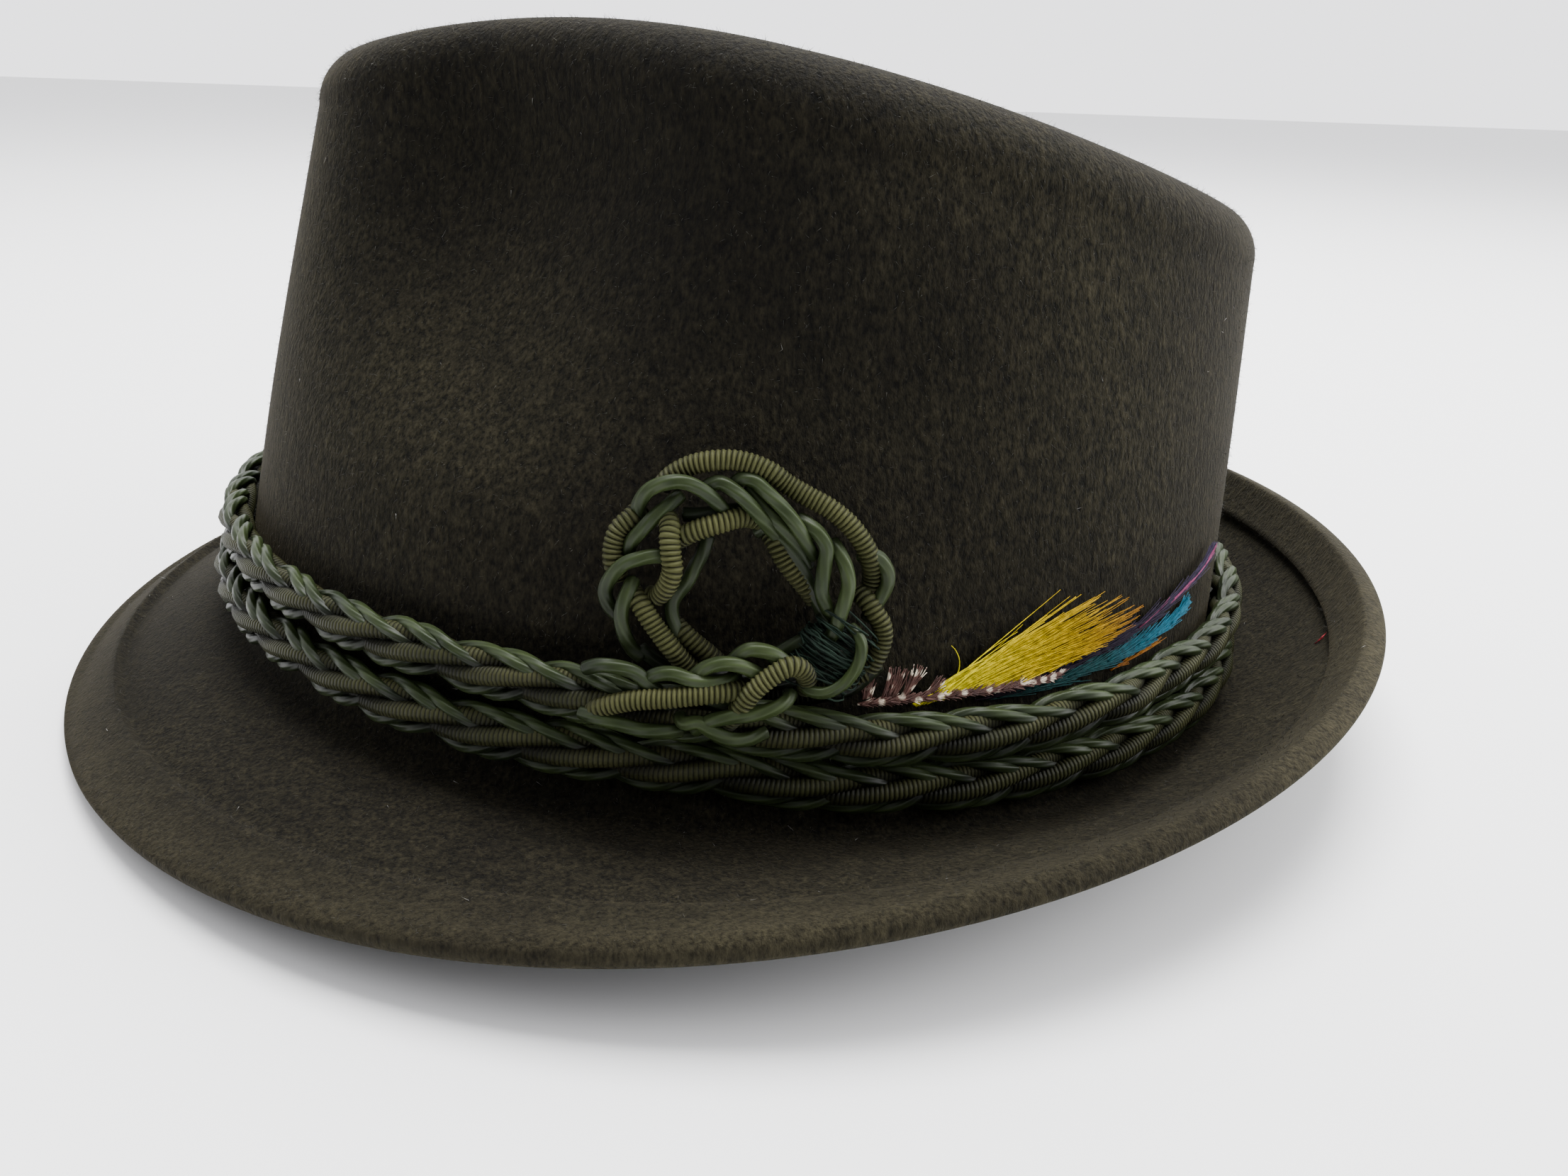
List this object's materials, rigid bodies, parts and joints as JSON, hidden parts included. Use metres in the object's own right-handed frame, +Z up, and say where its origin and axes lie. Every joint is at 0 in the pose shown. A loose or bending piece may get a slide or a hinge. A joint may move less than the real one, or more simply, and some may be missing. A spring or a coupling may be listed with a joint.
{
  "type": "alpine felt hat",
  "caption": "Alpine hat of dark olive fur felt with a creased, pinched crown, snap brim, plaited cord band, plaited ring and feather spray.",
  "frame": {"origin": "under the middle of the hat's box, on the surface that it rests on", "axes": "+Z up, +X towards the back of the hat, -X towards its front, -Y towards the wearer's left, where the ring and feathers are"},
  "size_m": [0.26, 0.2546, 0.1195],
  "materials": {
    "felt": "brushed fur felt, dark olive brown",
    "rope_cord": "grey-green covered cords with a slight sheen",
    "binding_thread": "wound sewing thread, dull teal",
    "blue_feather": "feather, teal blue",
    "violet_feather": "feather, dark violet",
    "yellow_feather": "hackle feather, clear yellow",
    "speckled_feather": "feather, brown with white specks"
  },
  "bodies": {
    "root": {"felt_body": "felt", "upper_rope": "rope_cord", "lower_rope": "rope_cord", "plaited_ring": "rope_cord", "ring_binding": "binding_thread", "tie_cord": "rope_cord", "blue_feather": "blue_feather", "violet_feather": "violet_feather", "yellow_hackle": "yellow_feather", "speckled_feather": "speckled_feather"}
  },
  "joints": []
}
